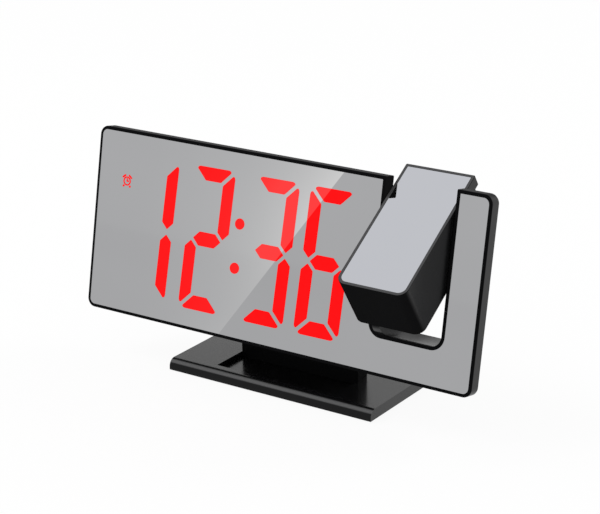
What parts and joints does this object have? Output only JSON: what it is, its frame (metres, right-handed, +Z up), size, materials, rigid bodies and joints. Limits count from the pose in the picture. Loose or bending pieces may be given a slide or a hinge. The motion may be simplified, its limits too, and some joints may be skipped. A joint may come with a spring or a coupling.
{
  "type": "projection alarm clock",
  "caption": "Slim mirror-faced digital alarm clock leaning on a low stand, with a projector block that swings in a notch at its upper right.",
  "frame": {"origin": "middle of the stand's footprint, on the surface it rests on", "axes": "+X to the right seen from the front, +Y to the back, +Z up; the display faces -Y and leans back"},
  "size_m": [0.198, 0.0824, 0.1034],
  "materials": {
    "gloss_black": "high-gloss moulded ABS",
    "satin_black": "fine satin moulded ABS",
    "silver_mirror": "half-silvered acrylic sheet",
    "mask_black": "black film",
    "red_diffuser": "red light diffuser, lit",
    "white_plastic": "white moulded plastic",
    "circuit_green": "solder-masked glass-epoxy board",
    "led_clear": "diode packages",
    "zinc_steel": "zinc-plated steel",
    "dark_steel": "blackened steel",
    "button_grey": "satin push buttons",
    "cell_steel": "nickelled can",
    "acetal": "acetal bearing plastic",
    "clear_lens": "clear optical lens",
    "film": "liquid-crystal plate",
    "pad_rubber": "ribbed grip rubber",
    "brass": "spring brass"
  },
  "bodies": {
    "stand": {"base_plate": "gloss_black", "neck": "gloss_black", "neck_screws": "zinc_steel", "grip_pad": "pad_rubber", "hinge_washers": "acetal"},
    "clock": {"hinge_pin": "dark_steel", "front_frame": "gloss_black", "mirror_panel": "silver_mirror", "segment_mask": "mask_black", "colon_lens": "red_diffuser", "alarm_lens": "red_diffuser", "reflector_block": "white_plastic", "display_board": "circuit_green", "display_leds": "led_clear", "rear_cover": "satin_black", "main_board": "circuit_green", "board_screws": "zinc_steel", "press_switches": "dark_steel", "speaker": "dark_steel", "coin_cell": "cell_steel", "cell_contact": "brass", "power_socket": "dark_steel", "housing_screws": "dark_steel", "left_bush": "acetal", "right_bush": "acetal", "hour_tens_lens": "red_diffuser", "hour_units_lens": "red_diffuser", "minute_tens_lens": "red_diffuser", "minute_units_lens": "red_diffuser"},
    "projector": {"projector_frame": "satin_black", "projector_mirror": "silver_mirror", "projector_shell": "satin_black", "projector_screws": "dark_steel", "left_journal": "acetal", "right_journal": "dark_steel", "journal_clip": "zinc_steel", "swing_washer": "acetal", "optics_tube": "mask_black", "condenser_lens": "clear_lens", "time_film": "film", "lamp_board": "circuit_green", "lamp_led": "red_diffuser"},
    "lens": {"lens_barrel": "mask_black", "objective_lens": "clear_lens"},
    "focus_ring": {"focus_ring": "satin_black"},
    "snooze": {"snooze_bar": "button_grey"},
    "battery_door": {"battery_door": "satin_black"},
    "mode_button": {"mode_button": "button_grey"},
    "alarm_button": {"alarm_button": "button_grey"},
    "up_button": {"up_button": "button_grey"},
    "down_button": {"down_button": "button_grey"},
    "projection_button": {"projection_button": "button_grey"}
  },
  "joints": [
    {"name": "display_tilt", "type": "hinge", "parent": "stand", "child": "clock", "pos_m": [0, -0.0015, 0.0276], "axis": [-1, 0, 0], "range_deg": [-11.5, 18.5]},
    {"name": "projector_swing", "type": "hinge", "parent": "clock", "child": "projector", "pos_m": [0.0665, -0.00375, 0.08525], "axis": [-1, 0, 0], "range_deg": [-136, 44]},
    {"name": "focus_turn", "type": "hinge", "parent": "projector", "child": "focus_ring", "pos_m": [0.0665, 0.00807, 0.08958], "axis": [0, 0.8434, 0.5373], "range_deg": [-61, 61]},
    {"name": "focus_travel", "type": "slide", "parent": "projector", "child": "lens", "axis": [0, 0.8434, 0.5373], "range_m": [-0.001, 0.001]},
    {"name": "snooze_press", "type": "slide", "parent": "clock", "child": "snooze", "axis": [0, -0.1994, -0.9799], "range_m": [0, 0.0006], "stiffness_N_per_m": 1500},
    {"name": "battery_door_turn", "type": "hinge", "parent": "clock", "child": "battery_door", "pos_m": [-0.02, -0.00334, 0.04465], "axis": [0, 0.9799, -0.1994], "range_deg": [0, 60]},
    {"name": "mode_press", "type": "slide", "parent": "clock", "child": "mode_button", "axis": [0, -0.9799, 0.1994], "range_m": [0, 0.0006], "stiffness_N_per_m": 1500},
    {"name": "alarm_press", "type": "slide", "parent": "clock", "child": "alarm_button", "axis": [0, -0.9799, 0.1994], "range_m": [0, 0.0006], "stiffness_N_per_m": 1500},
    {"name": "up_press", "type": "slide", "parent": "clock", "child": "up_button", "axis": [0, -0.9799, 0.1994], "range_m": [0, 0.0006], "stiffness_N_per_m": 1500},
    {"name": "down_press", "type": "slide", "parent": "clock", "child": "down_button", "axis": [0, -0.9799, 0.1994], "range_m": [0, 0.0006], "stiffness_N_per_m": 1500},
    {"name": "projection_press", "type": "slide", "parent": "clock", "child": "projection_button", "axis": [0, -0.9799, 0.1994], "range_m": [0, 0.0006], "stiffness_N_per_m": 1500}
  ],
  "couplings": [
    {"joint": "focus_turn", "follows": "focus_travel", "rad_per_m": 1047.2}
  ]
}
